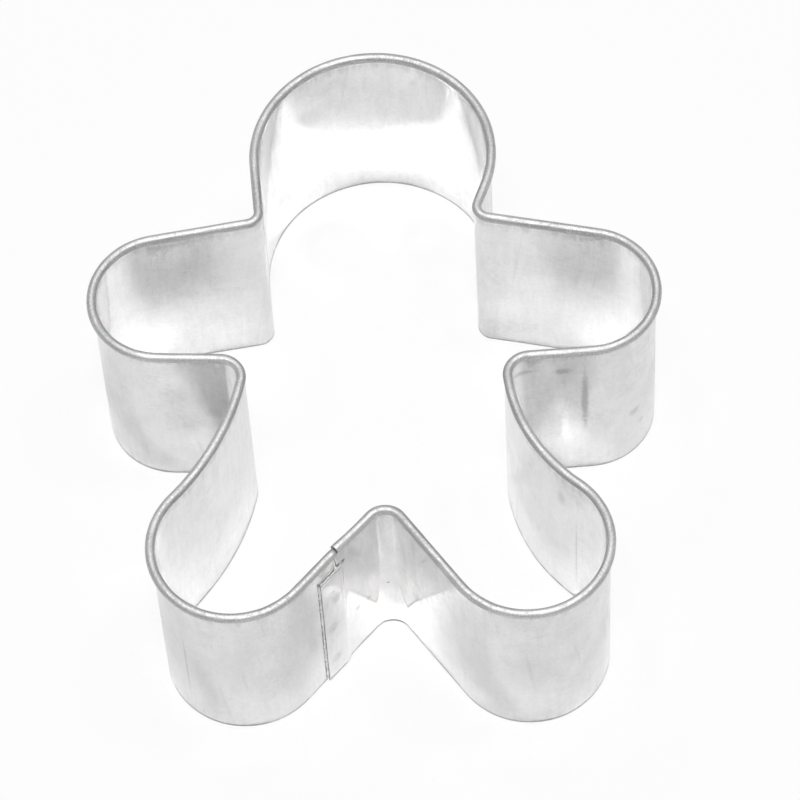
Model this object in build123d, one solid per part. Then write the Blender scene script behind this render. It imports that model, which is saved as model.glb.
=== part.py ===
from build123d import *
from dataclasses import dataclass
from math import acos, atan2, cos, pi, sin, sqrt
import os

# Gingerbread man cookie cutter: one tinplate strip with a rolled rim, bent on edge into the
# outline and spot welded where its two ends lap. It stands on its cutting edge with the rim up.
# +Z is up, +Y runs from the feet to the head, and left means the side of smaller X.

# Strip
sheet_thickness = 0.28
band_height = 25.4

# Rolled rim: a hollow bead that stands out from the wall on both sides, more on the outside
rim_diameter = 1.06
rim_centre_outward = 0.22
rim_neck_bend_radius = 0.5

# Corners of the flats round the roll, on its outside and in its hollow, in each quarter turn
rim_outside_corner_shares = (1 / 3, 2 / 3, 1)
rim_hollow_corner_shares = (1 / 2, 1)

# Head
head_radius = 13.1
head_height_on_axis = 59.1

# Neck bends, which sit a little left of the head's axis
neck_bend_radius = 1.7
neck_bend_reach = 13.65
neck_height = 51.7
neck_shift_left = 0.6

# Hands, the left one held a little higher than the right
hand_radius = 7.55
hand_reach = 23.4
hand_height = 40.45
arm_lift = 0.3

# Armpits
armpit_bend_radius = 2.65
armpit_reach = 16.95
armpit_height = 29.9

# Sides of the body, two long hollows from the armpits to the feet
left_side_radius = 31.0
right_side_radius = 20.5

# Feet, both a little right of the head's axis
foot_radius = 8.7
foot_reach = 15.7
foot_height = 8.95
foot_shift_right = 0.5
foot_lift = 0.2

# Crotch bend, right of the head's axis
crotch_bend_radius = 2.35
crotch_height = 10.9
crotch_shift_right = 1.0

# Seam on the left flank of the crotch: the strip's start is stepped out and laps over its end
seam_below_crotch = 5.55
seam_butt_gap = 0.3
lap_length = 2.6
lap_clearance = 0.05
lap_joggle_radius = 1.5
tab_below_rim = 4.2

# Spot welds through both layers of the lap, placed up the height of the tab
weld_diameter = 1.5
weld_dent_depth = 0.04
weld_height_shares = (0.17, 0.495, 0.82)
weld_names = ("spot_weld_lower", "spot_weld_middle", "spot_weld_upper")

# Bends whose centres are this near to the sum or difference of their radii touch directly
touching_share = 1 - 1e-9

half_sheet = sheet_thickness / 2
rim_radius = rim_diameter / 2
rim_sheet_radius = rim_radius - half_sheet
rim_centre_height = band_height - rim_radius
tab_height = band_height - tab_below_rim
lap_step = sheet_thickness + lap_clearance


@dataclass(frozen=True)
class Bend:
    """A round stretch of the outline: it bulges outward, or it is hollow."""

    centre: Vector
    radius: float
    bulges: bool

    @property
    def turn(self) -> float:
        """Signed radius: positive where the outline, taken anticlockwise, turns left."""
        return self.radius if self.bulges else -self.radius


def bulge(x: float, y: float, radius: float) -> Bend:
    """A bend whose centre lies inside the outline."""
    return Bend(Vector(x, y), radius, True)


def hollow(x: float, y: float, radius: float) -> Bend:
    """A bend whose centre lies outside the outline."""
    return Bend(Vector(x, y), radius, False)


def left_of(direction: Vector) -> Vector:
    """The level direction a quarter turn to the left of another."""
    return Vector(-direction.Y, direction.X)


def tangent_run(first: Bend, second: Bend) -> tuple[Vector, Vector]:
    """The two ends of the straight run from one bend to the next, tangent to both."""
    across = second.centre - first.centre
    unit = across.normalized()
    lean = (second.turn - first.turn) / across.length
    aside = 0.0 if abs(lean) > touching_share else sqrt(1 - lean * lean)
    normal = unit * lean + left_of(unit) * aside
    return first.centre - normal * first.turn, second.centre - normal * second.turn


def side_hollow(armpit: Bend, foot: Bend, radius: float, foot_is_left: bool) -> Bend:
    """The long hollow that the armpit bend runs into and that meets the foot, tangent to both."""
    to_foot = foot.centre - armpit.centre
    from_armpit = radius - armpit.radius
    from_foot = radius + foot.radius
    along = (from_armpit**2 - from_foot**2 + to_foot.length**2) / (2 * to_foot.length)
    aside = sqrt(from_armpit**2 - along**2)
    unit = to_foot.normalized()
    outward = left_of(unit) * (-aside if foot_is_left else aside)
    return Bend(armpit.centre + unit * along + outward, radius, False)


def outline_bends() -> list[Bend]:
    """The bends in order, anticlockwise from the crotch: up the right side, down the left."""
    crotch = hollow(crotch_shift_right, crotch_height, crotch_bend_radius)
    right_foot = bulge(foot_shift_right + foot_reach, foot_height - foot_lift, foot_radius)
    left_foot = bulge(foot_shift_right - foot_reach, foot_height + foot_lift, foot_radius)
    right_armpit = hollow(armpit_reach, armpit_height - arm_lift, armpit_bend_radius)
    left_armpit = hollow(-armpit_reach, armpit_height + arm_lift, armpit_bend_radius)
    right_hand = bulge(hand_reach, hand_height - arm_lift, hand_radius)
    left_hand = bulge(-hand_reach, hand_height + arm_lift, hand_radius)
    right_neck = hollow(neck_bend_reach - neck_shift_left, neck_height, neck_bend_radius)
    left_neck = hollow(-neck_bend_reach - neck_shift_left, neck_height, neck_bend_radius)
    head = bulge(0, head_height_on_axis, head_radius)
    right_side = side_hollow(right_armpit, right_foot, right_side_radius, False)
    left_side = side_hollow(left_armpit, left_foot, left_side_radius, True)
    return [
        crotch, right_foot, right_side, right_armpit, right_hand, right_neck,
        head, left_neck, left_hand, left_armpit, left_side, left_foot,
    ]


def bend_arc(bend: Bend, start: Vector, end: Vector) -> Edge:
    """The arc of a bend from start to end, the way that the outline turns there."""
    first = atan2(start.Y - bend.centre.Y, start.X - bend.centre.X)
    last = atan2(end.Y - bend.centre.Y, end.X - bend.centre.X)
    sweep_angle = (last - first) % (2 * pi)
    if not bend.bulges:
        sweep_angle -= 2 * pi
    half_way = first + sweep_angle / 2
    middle = bend.centre + Vector(cos(half_way), sin(half_way)) * bend.radius
    return ThreePointArc(start, middle, end)


@dataclass(frozen=True)
class Seam:
    """The places along the left flank of the crotch where the strip's ends lie."""

    start: Vector
    along: Vector
    outward: Vector

    def at(self, distance: float, offset: float = 0.0) -> Vector:
        """A point on the flank, by its distance towards the crotch and its offset outward."""
        return self.start + self.along * distance + self.outward * offset


def find_seam(bends: list[Bend]) -> Seam:
    """The seam's frame: its origin is where the crotch end of the rolled rim begins."""
    flank_start, flank_end = tangent_run(bends[-1], bends[0])
    along = (flank_end - flank_start).normalized()
    start = flank_end - along * seam_below_crotch
    return Seam(start, along, -left_of(along))


def joggle_length() -> float:
    """The run over which two tangent arcs step the tab out by one lap."""
    return sqrt(4 * lap_joggle_radius * lap_step - lap_step**2)


def outline_edges(bends: list[Bend], seam: Seam, first_point: Vector) -> list[Edge]:
    """The strip's middle line from a point on the crotch's left flank round to its far end."""
    edges = []
    arrive = first_point
    for before, here, after in zip(bends[-1:] + bends, bends, bends[1:] + bends[:1]):
        enter = tangent_run(before, here)[1]
        leave = tangent_run(here, after)[0]
        if (enter - arrive).length > half_sheet:
            edges.append(Line(arrive, enter))
        edges.append(bend_arc(here, enter, leave))
        arrive = leave
    edges.append(Line(arrive, seam.at(-seam_butt_gap)))
    return edges


def tab_edges(seam: Seam) -> list[Edge]:
    """The tab's middle line: from its cut edge along the lap, then a joggle in to the outline."""
    cut = seam.at(-seam_butt_gap - lap_length, lap_step)
    lap_end = seam.at(0.0, lap_step)
    half_run = joggle_length() / 2
    middle = seam.at(half_run, lap_step / 2)
    landing = seam.at(joggle_length())
    return [
        Line(cut, lap_end),
        TangentArc(lap_end, middle, tangent=seam.along),
        TangentArc(landing, middle, tangent=-seam.along),
    ]


def wall_profile(low: float, high: float) -> Sketch:
    """Section of the upright wall between two heights, with X outward and Y up."""
    return Pos(0, low) * Rectangle(sheet_thickness, high - low, align=(Align.CENTER, Align.MIN))


def skin_corners(low: float, side: float, shares: tuple[float, ...]) -> list[Vector]:
    """Corners of one face of the sheet, from a height on the wall up and round the roll."""
    roll = Vector(rim_centre_outward, rim_centre_height)
    reach = rim_neck_bend_radius + rim_sheet_radius
    lean = acos((rim_centre_outward + rim_neck_bend_radius) / reach)
    neck = roll - Vector(cos(lean), sin(lean)) * reach
    bend = rim_neck_bend_radius + side
    turns = [pi] + [pi / 2 * (2 - quarter - share) for quarter in range(3) for share in shares]
    corners = [Vector(side, low), Vector(side, neck.Y)]
    corners.append(neck + Vector(cos(lean), sin(lean)) * bend)
    corners += [roll + Vector(cos(turn), sin(turn)) * (rim_sheet_radius - side) for turn in turns]
    return corners


def roll_profile(low: float) -> Sketch:
    """Section of the wall from a height up and of the roll that its upper edge is turned into."""
    outside = skin_corners(low, -half_sheet, rim_outside_corner_shares)
    hollow_side = skin_corners(low, half_sheet, rim_hollow_corner_shares)
    return make_face(Polyline(*outside, *reversed(hollow_side), close=True))


def upright(profile: Sketch, path: Wire) -> Part:
    """The profile carried along a level path, with its X on the path's outward side."""
    direction = path % 0
    plane = Plane(origin=path @ 0, x_dir=-left_of(direction), z_dir=-direction)
    return sweep((plane * profile).face(), path=path)


def weld_places(seam: Seam) -> list[Location]:
    """Centres of the welds on the lap's inner face, each with Z along the weld, outward."""
    centre = seam.at(-seam_butt_gap - lap_length / 2, -half_sheet)
    return [
        Plane(origin=centre + Vector(0, 0, tab_height * share), z_dir=seam.outward).location
        for share in weld_height_shares
    ]


def tinplate_band(bends: list[Bend], seam: Seam) -> Part:
    """The strip: its rolled upper part, its lower wall with the tab, and the weld holes."""
    rim_path = Wire(outline_edges(bends, seam, seam.at(0.0)))
    wall_path = Wire(outline_edges(bends, seam, seam.at(joggle_length())))
    tab_path = Wire(tab_edges(seam))
    rim = upright(roll_profile(tab_height), rim_path)
    wall = upright(wall_profile(0.0, tab_height), wall_path)
    tab = upright(wall_profile(0.0, tab_height), tab_path)
    stack = 2 * sheet_thickness + lap_clearance
    holes = [
        place * Pos(0, 0, stack / 2) * Cylinder(weld_diameter / 2, 2 * stack)
        for place in weld_places(seam)
    ]
    return rim + wall + tab - holes


def spot_weld(place: Location) -> Part:
    """The fused nugget, as long as both layers less the dent that each electrode leaves."""
    stack = 2 * sheet_thickness + lap_clearance
    return place * Pos(0, 0, stack / 2) * Cylinder(weld_diameter / 2, stack - 2 * weld_dent_depth)


def main() -> None:
    os.makedirs("parts", exist_ok=True)
    bends = outline_bends()
    seam = find_seam(bends)
    band = tinplate_band(bends, seam)
    middle = band.bounding_box().center()
    to_origin = Pos(-middle.X, -middle.Y, 0)
    export_step(to_origin * band, "parts/tinplate_band.step")
    for name, place in zip(weld_names, weld_places(seam)):
        export_step(to_origin * spot_weld(place), f"parts/{name}.step")


main()
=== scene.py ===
"""Gingerbread man cookie cutter in tinplate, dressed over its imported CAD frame."""

import logging
import math
from abc import ABC, abstractmethod
from dataclasses import dataclass, field, replace
from enum import Enum
from functools import cached_property

import bmesh
import bpy
from mathutils import Matrix, Vector, noise


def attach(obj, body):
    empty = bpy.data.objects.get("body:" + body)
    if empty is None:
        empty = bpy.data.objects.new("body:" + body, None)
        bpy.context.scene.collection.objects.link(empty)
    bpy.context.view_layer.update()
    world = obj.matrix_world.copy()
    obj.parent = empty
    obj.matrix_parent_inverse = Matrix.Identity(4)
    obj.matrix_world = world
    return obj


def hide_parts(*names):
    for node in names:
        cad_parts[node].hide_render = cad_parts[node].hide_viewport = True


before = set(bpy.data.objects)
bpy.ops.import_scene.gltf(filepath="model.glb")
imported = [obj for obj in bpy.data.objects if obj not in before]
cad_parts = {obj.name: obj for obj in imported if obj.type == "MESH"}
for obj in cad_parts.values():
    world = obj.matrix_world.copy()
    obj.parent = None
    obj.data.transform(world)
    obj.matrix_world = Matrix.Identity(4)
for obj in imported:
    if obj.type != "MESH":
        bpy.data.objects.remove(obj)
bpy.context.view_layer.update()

LOG = logging.getLogger("cookie_cutter")
MM = 0.001  # a millimetre in metres
STRIP_UV = "strip"
UV_SPAN = 10.0  # millimetres of strip for each unit of the UV map
SHORTEST_RUN = 1e-4  # millimetres, below which two bends touch without a straight between
DENT_FALL = 2.0  # how fast a dent fades out from its middle
DENT_END = 4.0  # square of the distance at which it ends, in half widths
NOISE_MEAN = 0.5  # what a noise texture gives on average

CornerPair = tuple[bmesh.types.BMVert, bmesh.types.BMVert]
Triple = tuple[float, float, float]
Socket = bpy.types.NodeSocket
Sockets = dict[str, Socket]
Feeds = dict[str | int, object]


class Face(Enum):
    """The kinds of surface on the strip, each with its own finish."""

    WALL = 0
    ROLL = 1
    SHEARED = 2
    BURR = 3


@dataclass(frozen=True)
class Bend:
    """A round stretch of the outline, in millimetres.

    Args:
        x: Centre, to the figure's left or right.
        y: Centre, up from the line that the feet stand on.
        radius: Radius of the sheet's middle.
        bulges: Whether the centre lies inside the outline.
    """

    x: float
    y: float
    radius: float
    bulges: bool

    @property
    def centre(self) -> Vector:
        """The bend's centre."""
        return Vector((self.x, self.y))

    @property
    def turn(self) -> float:
        """The radius, negative where the outline is hollow."""
        return self.radius if self.bulges else -self.radius


def left_of(direction: Vector) -> Vector:
    """The direction a quarter turn to the left, in plan."""
    return Vector((-direction.y, direction.x))


def smooth_share(value: float) -> float:
    """A value held between 0 and 1 and eased at both ends."""
    held = min(1.0, max(0.0, value))
    return held * held * (3.0 - 2.0 * held)


def tangent_run(first: Bend, second: Bend) -> tuple[Vector, Vector]:
    """The straight run that is tangent to two bends.

    Args:
        first: The bend that the outline leaves.
        second: The bend that it reaches.

    Returns:
        The run's start and end.
    """
    across = second.centre - first.centre
    unit = across.normalized()
    lean = (second.turn - first.turn) / across.length
    aside = math.sqrt(max(0.0, 1.0 - lean * lean))
    normal = unit * lean + left_of(unit) * aside
    return first.centre - normal * first.turn, second.centre - normal * second.turn


@dataclass(frozen=True)
class Station:
    """A place along the strip.

    Args:
        run: Distance from the seam, anticlockwise from the crotch's left flank.
        point: Place of the sheet's middle in plan.
        outward: Level direction away from the dough.
    """

    run: float
    point: Vector
    outward: Vector


@dataclass
class Outline:
    """The figure's outline as tangent bends, in millimetres before it is centred.

    Left and right are the picture's, and heights are above the line that the feet stand on.

    Args:
        middle_y: Height of the CAD frame's middle.
        head_radius: Radius of the head.
        head_height: Height of its centre.
        neck_radius: Radius of the hollow between the head and an arm.
        neck_reach: How far its centre lies from the middle.
        neck_height: Height of its centre.
        neck_shift: How far both necks lie to the left.
        hand_radius: Radius of a hand.
        hand_reach: How far its centre lies from the middle.
        hand_height: Height of its centre.
        arm_lift: How far the left arm is raised and the right arm lowered.
        armpit_radius: Radius of the hollow under an arm.
        armpit_reach: How far its centre lies from the middle.
        armpit_height: Height of its centre.
        left_side_radius: Radius of the long hollow down the left side.
        right_side_radius: Radius of the long hollow down the right side.
        foot_radius: Radius of a foot.
        foot_reach: How far its centre lies from the middle between the feet.
        foot_height: Height of its centre.
        foot_shift: How far both feet lie to the right.
        foot_lift: How far the left foot is raised and the right foot lowered.
        crotch_radius: Radius of the hollow between the legs.
        crotch_height: Height of its centre.
        crotch_shift: How far its centre lies to the right.
        seam_below_crotch: How far down the left flank the seam lies from that hollow.
        bend_step: Largest turn from one station to the next, in radians.
        longest_step: Largest distance from one station to the next.
    """

    middle_y: float = 36.125
    head_radius: float = 13.1
    head_height: float = 59.1
    neck_radius: float = 1.7
    neck_reach: float = 13.65
    neck_height: float = 51.7
    neck_shift: float = 0.6
    hand_radius: float = 7.55
    hand_reach: float = 23.4
    hand_height: float = 40.45
    arm_lift: float = 0.3
    armpit_radius: float = 2.65
    armpit_reach: float = 16.95
    armpit_height: float = 29.9
    left_side_radius: float = 31.0
    right_side_radius: float = 20.5
    foot_radius: float = 8.7
    foot_reach: float = 15.7
    foot_height: float = 8.95
    foot_shift: float = 0.5
    foot_lift: float = 0.2
    crotch_radius: float = 2.35
    crotch_height: float = 10.9
    crotch_shift: float = 1.0
    seam_below_crotch: float = 5.55
    bend_step: float = math.radians(4.0)
    longest_step: float = 0.5

    def pair(
        self, reach: float, height: float, radius: float, bulges: bool,
        shift: float = 0.0, lift: float = 0.0,
    ) -> tuple[Bend, Bend]:
        """The same bend on both sides of the figure.

        Args:
            reach: How far each one lies from the middle.
            height: Their height.
            radius: Their radius.
            bulges: Whether their centres lie inside the outline.
            shift: How far the middle between them lies to the right.
            lift: How far the left one is raised and the right one lowered.

        Returns:
            The right one and the left one.
        """
        right = Bend(shift + reach, height - lift, radius, bulges)
        left = Bend(shift - reach, height + lift, radius, bulges)
        return right, left

    def side(self, armpit: Bend, foot: Bend, radius: float, is_left: bool) -> Bend:
        """The long hollow that touches an armpit bend and a foot.

        Args:
            armpit: The bend that the hollow runs into.
            foot: The foot that it meets.
            radius: Radius of the hollow.
            is_left: Whether it is the figure's left side in the picture.

        Returns:
            The hollow.
        """
        to_foot = foot.centre - armpit.centre
        near, far = radius - armpit.radius, radius + foot.radius
        along = (near**2 - far**2 + to_foot.length**2) / (2.0 * to_foot.length)
        aside = math.sqrt(near**2 - along**2)
        unit = to_foot.normalized()
        centre = armpit.centre + unit * along + left_of(unit) * (-aside if is_left else aside)
        return Bend(centre.x, centre.y, radius, False)

    def bends(self) -> list[Bend]:
        """The outline's bends.

        Returns:
            The bends in order, anticlockwise from the crotch.
        """
        crotch = Bend(self.crotch_shift, self.crotch_height, self.crotch_radius, False)
        right_foot, left_foot = self.pair(
            self.foot_reach, self.foot_height, self.foot_radius, True,
            self.foot_shift, self.foot_lift,
        )
        right_armpit, left_armpit = self.pair(
            self.armpit_reach, self.armpit_height, self.armpit_radius, False, lift=self.arm_lift
        )
        right_hand, left_hand = self.pair(
            self.hand_reach, self.hand_height, self.hand_radius, True, lift=self.arm_lift
        )
        right_neck, left_neck = self.pair(
            self.neck_reach, self.neck_height, self.neck_radius, False, -self.neck_shift
        )
        head = Bend(0.0, self.head_height, self.head_radius, True)
        right_side = self.side(right_armpit, right_foot, self.right_side_radius, False)
        left_side = self.side(left_armpit, left_foot, self.left_side_radius, True)
        return [
            crotch, right_foot, right_side, right_armpit, right_hand, right_neck,
            head, left_neck, left_hand, left_armpit, left_side, left_foot,
        ]

    def seam(self) -> tuple[Vector, Vector]:
        """Where the strip starts.

        Returns:
            The place where the roll starts, and the direction towards the crotch.
        """
        bends = self.bends()
        flank_start, flank_end = tangent_run(bends[-1], bends[0])
        along = (flank_end - flank_start).normalized()
        return flank_end - along * self.seam_below_crotch, along

    def centred(self, point: Vector) -> Vector:
        """A point of the figure in the CAD's frame."""
        return Vector((point.x, point.y - self.middle_y))

    def stations(self, first: float, last_gap: float) -> list[Station]:
        """Places along the strip, close together where it bends.

        Args:
            first: Distance past the seam at which the list starts, on the straight flank.
            last_gap: Distance short of the seam at which it ends.

        Returns:
            The places in order.
        """
        bends = self.bends()
        start, along = self.seam()
        outward = -left_of(along)
        places = [Station(first, self.centred(start + along * first), outward)]
        run = first
        here = start + along * first

        def straight(to_point: Vector) -> None:
            """Adds the places on a straight run.

            Args:
                to_point: Where the run ends.
            """
            nonlocal run, here
            across = to_point - here
            if across.length < SHORTEST_RUN:
                return
            unit = across.normalized()
            count = max(1, math.ceil(across.length / self.longest_step))
            for index in range(1, count + 1):
                share = index / count
                point = self.centred(here + across * share)
                places.append(Station(run + across.length * share, point, -left_of(unit)))
            run += across.length
            here = to_point

        for index, bend in enumerate(bends):
            enter = tangent_run(bends[index - 1], bend)[1]
            leave = tangent_run(bend, bends[(index + 1) % len(bends)])[0]
            straight(enter)
            first_angle = math.atan2(enter.y - bend.y, enter.x - bend.x)
            last_angle = math.atan2(leave.y - bend.y, leave.x - bend.x)
            sweep = (last_angle - first_angle) % (2.0 * math.pi)
            sweep -= 0.0 if bend.bulges else 2.0 * math.pi
            length = abs(sweep) * bend.radius
            turns = math.ceil(abs(sweep) / self.bend_step)
            count = max(turns, math.ceil(length / self.longest_step))
            for step in range(1, count + 1):
                angle = first_angle + sweep * step / count
                spoke = Vector((math.cos(angle), math.sin(angle)))
                point = self.centred(bend.centre + spoke * bend.radius)
                away = spoke if bend.bulges else -spoke
                places.append(Station(run + length * step / count, point, away))
            run += length
            here = leave
        straight(start - along * last_gap)
        return places


@dataclass(frozen=True)
class SheetRow:
    """One row of the sheet's section, from the cutting edge up and round the roll.

    Args:
        out: Place of the sheet's middle outward of the wall's own middle.
        up: Its height.
        normal_out: Outward part of the normal that points to the wall's outer face.
        normal_up: Upward part of that normal.
        travel: Distance along the sheet from the cutting edge.
        face: The finish between this row and the one before.
        inset: How far each face is drawn in, where a sheared edge is worn round.
    """

    out: float
    up: float
    normal_out: float
    normal_up: float
    travel: float
    face: Face
    inset: float = 0.0


@dataclass
class SheetSection:
    """The strip's upright section with its rolled rim, in millimetres.

    Args:
        thickness: Thickness of the sheet.
        height: Height of the cutter.
        roll_diameter: Outer diameter of the roll.
        roll_outward: How far the roll's centre lies outward of the wall's middle.
        roll_turn: How far the sheet is rolled past level, in radians.
        neck_radius: Radius of the bend below the roll.
        neck_steps: Rows round that bend.
        roll_steps: Rows round the roll.
        wall_step: Largest distance between two rows of the wall.
        tab_below_rim: How far the tab's top edge lies below the rim.
        edge_round: Radius to which the sheared edges are worn.
    """

    thickness: float = 0.28
    height: float = 25.4
    roll_diameter: float = 1.06
    roll_outward: float = 0.22
    roll_turn: float = 1.5 * math.pi
    neck_radius: float = 0.5
    neck_steps: int = 4
    roll_steps: int = 26
    wall_step: float = 0.7
    tab_below_rim: float = 4.2
    edge_round: float = 0.035

    @property
    def half(self) -> float:
        """Half of the sheet's thickness."""
        return self.thickness / 2.0

    @property
    def tab_height(self) -> float:
        """Height of the tab's top edge."""
        return self.height - self.tab_below_rim

    def rows(self) -> list[SheetRow]:
        """The section's rows.

        Returns:
            The rows from the cutting edge up and round the roll, one of them at the tab's height.
        """
        sheet_radius = self.roll_diameter / 2.0 - self.half
        roll_up = self.height - self.roll_diameter / 2.0
        reach = self.neck_radius + sheet_radius
        lean = math.acos((self.roll_outward + self.neck_radius) / reach)
        neck_up = roll_up - math.sin(lean) * reach
        heights = self._levels(self.edge_round, self.tab_height)
        heights += self._levels(self.tab_height, neck_up)[1:]
        rows = [SheetRow(0.0, 0.0, 1.0, 0.0, 0.0, Face.WALL, self.edge_round)]
        rows += [SheetRow(0.0, up, 1.0, 0.0, up, Face.WALL) for up in heights]
        rows[1] = replace(rows[1], face=Face.BURR)
        travel = neck_up
        for step in range(1, self.neck_steps + 1):
            angle = lean * step / self.neck_steps
            rows.append(
                SheetRow(
                    self.neck_radius * (math.cos(angle) - 1.0),
                    neck_up + self.neck_radius * math.sin(angle),
                    math.cos(angle),
                    math.sin(angle),
                    travel + self.neck_radius * angle,
                    Face.ROLL,
                )
            )
        travel += self.neck_radius * lean
        sweep = self.roll_turn + lean
        turns = [sweep * step / self.roll_steps for step in range(1, self.roll_steps + 1)]
        turns.insert(-1, sweep - self.edge_round / sheet_radius)
        for turned in turns:
            angle = math.pi + lean - turned
            rows.append(
                SheetRow(
                    self.roll_outward + sheet_radius * math.cos(angle),
                    roll_up + sheet_radius * math.sin(angle),
                    -math.cos(angle),
                    -math.sin(angle),
                    travel + sheet_radius * turned,
                    Face.ROLL,
                    self.edge_round if turned == sweep else 0.0,
                )
            )
        return rows

    def _levels(self, low: float, high: float) -> list[float]:
        """Evenly spaced heights from one level to another, both included."""
        count = math.ceil((high - low) / self.wall_step)
        return [low + (high - low) * index / count for index in range(count + 1)]


@dataclass(frozen=True)
class Dent:
    """A shallow dent, crease or bump pressed into the wall.

    Args:
        run: Its place along the strip.
        up: Its height.
        half_run: Half of its length along the strip.
        half_up: Half of its height.
        depth: How far the wall is moved outward, negative for inward.
        slant: How far its upper end leans along the strip, for each millimetre of height.
    """

    run: float
    up: float
    half_run: float
    half_up: float
    depth: float
    slant: float = 0.0

    def offset(self, run: float, up: float) -> float:
        """How far the dent moves the wall.

        Args:
            run: A place along the strip.
            up: Its height.

        Returns:
            The offset outward at that place.
        """
        along = (run - self.run - self.slant * (up - self.up)) / self.half_run
        rise = (up - self.up) / self.half_up
        away = along * along + rise * rise
        return self.depth * math.exp(-DENT_FALL * away) if away < DENT_END else 0.0


@dataclass(frozen=True)
class StainOrLightSpot:
    """A dull stain, or a spot of painted shade or painted highlight, at one place on the strip.

    Args:
        run: Its place along the strip.
        up: Its height.
        reach: Its half width.
        share: How strong it is.
        grey: The metal's grey in its middle.
        tall: Its height against its width.
    """

    run: float
    up: float
    reach: float
    share: float
    grey: float
    tall: float = 1.0


class SheetMesh:
    """A closed mesh in the making, which keeps each corner's place on the flat strip."""

    def __init__(self) -> None:
        """Starts an empty mesh."""
        self.mesh = bmesh.new()
        self.unrolled = self.mesh.loops.layers.uv.new(STRIP_UV)
        self.travelled = self.mesh.verts.layers.float_vector.new("travel")

    def corner(self, plan: Vector, up: float, run: float, travel: float) -> bmesh.types.BMVert:
        """Adds a corner.

        Args:
            plan: Its place in plan.
            up: Its height.
            run: Its place along the strip.
            travel: Its distance along the sheet from the cutting edge.

        Returns:
            The corner.
        """
        vertex = self.mesh.verts.new((plan.x * MM, plan.y * MM, up * MM))
        vertex[self.travelled] = (run, travel, 0.0)
        return vertex

    def face(self, corners: list[bmesh.types.BMVert], kind: Face, is_smooth: bool = True) -> None:
        """Adds a face.

        Args:
            corners: Its corners in order.
            kind: Its finish.
            is_smooth: Whether it is shaded as part of a curve.
        """
        face = self.mesh.faces.new(corners)
        face.material_index = kind.value
        face.smooth = is_smooth

    def piece(self, node: str) -> bpy.types.Object:
        """Turns the mesh into a piece of the cutter.

        Args:
            node: Name of the CAD node that it dresses.

        Returns:
            The piece, in metres in the CAD's frame.
        """
        for face in self.mesh.faces:
            for loop in face.loops:
                place = loop.vert[self.travelled]
                loop[self.unrolled].uv = (place[0] / UV_SPAN, place[1] / UV_SPAN)
        bmesh.ops.recalc_face_normals(self.mesh, faces=self.mesh.faces)
        data = bpy.data.meshes.new(f"{node}_detail")
        self.mesh.to_mesh(data)
        self.mesh.free()
        piece = bpy.data.objects.new(f"{node}_detail", data)
        bpy.context.scene.collection.objects.link(piece)
        return piece


class BandMesh(SheetMesh):
    """The band's mesh, laid out as rings of corner pairs on the sheet's inner and outer face."""

    def __init__(self, band: "TinplateBand") -> None:
        """Starts an empty mesh with the rows of the band's section.

        Args:
            band: The band that the mesh is for.
        """
        super().__init__()
        self.band = band
        self.rows = band.section.rows()
        walls = [index for index, row in enumerate(self.rows) if row.face is Face.WALL]
        tab_height = band.section.tab_height
        self.split = min(walls, key=lambda index: abs(self.rows[index].up - tab_height))
        self.last = len(self.rows) - 1

    def ring(
        self, place: Station, low: int, high: int, offset: float = 0.0, inset: float = 0.0
    ) -> list[CornerPair]:
        """Adds the corners of one upright ring, for a stretch of rows.

        Args:
            place: Where the ring stands.
            low: Its lowest row.
            high: Its highest row.
            offset: How far the sheet is stepped outward there.
            inset: How far its faces are drawn in, where the ring is a worn end.

        Returns:
            The corners of each row, on the inner and the outer face.
        """
        band = self.band
        pairs = []
        for index in range(low, high + 1):
            row = self.rows[index]
            is_tab_top = high == self.split == index
            top_worn = min(band.section.edge_round, offset / 2.0) if is_tab_top else 0.0
            drawn_in = max(row.inset, inset, top_worn)
            away = 0.0
            if row.face is Face.ROLL:
                away = band.roll_relief(place.run, row.travel)
                shift = offset - band.rim_shift(place.run, row.up)
            else:
                lap = offset - (band.pressed(row.up, offset) if high == self.split else 0.0)
                shift = lap + band.relief(place.run, row.up) - band.rim_shift(place.run, row.up)
            pair = []
            for side in (drawn_in - band.section.half, band.section.half - drawn_in):
                out = row.out + shift + row.normal_out * (side - away)
                up = row.up + row.normal_up * (side - away)
                plan = place.point + place.outward * out
                pair.append(self.corner(plan, up, place.run, row.travel))
            pairs.append(tuple(pair))
        return pairs

    def skin(self, before: list[CornerPair], after: list[CornerPair], low: int) -> None:
        """Adds the faces on both sides of the sheet between two neighbouring rings.

        Args:
            before: The first ring.
            after: The next ring along the strip.
            low: The lowest row of both.
        """
        for index in range(len(before) - 1):
            kind = self.rows[low + index + 1].face
            for side in (0, 1):
                corners = [
                    before[index][side], after[index][side],
                    after[index + 1][side], before[index + 1][side],
                ]
                self.face(corners if side else corners[::-1], kind)

    def rail(self, before: CornerPair, after: CornerPair, kind: Face, is_top: bool) -> None:
        """Adds a face of the sheet's long edge between the corners of two neighbouring rings."""
        corners = [before[0], after[0], after[1], before[1]]
        self.face(corners[::-1] if is_top else corners, kind)

    def cap(self, ring: list[CornerPair], is_start: bool) -> None:
        """Closes the cut end of the sheet.

        Args:
            ring: The ring at the end.
            is_start: Whether the sheet starts there.
        """
        for lower, upper in zip(ring, ring[1:]):
            corners = [lower[0], lower[1], upper[1], upper[0]]
            self.face(corners if is_start else corners[::-1], Face.SHEARED, False)

    def stretch(self, rings: list[list[CornerPair]], low: int, top: Face) -> None:
        """Adds the skins and both long edges along a row of rings.

        Args:
            rings: The rings in order.
            low: The lowest row of all of them.
            top: The finish of the upper edge.
        """
        for before, after in zip(rings, rings[1:]):
            self.skin(before, after, low)
            self.rail(before[0], after[0], Face.BURR, False)
            self.rail(before[-1], after[-1], top, True)


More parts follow.
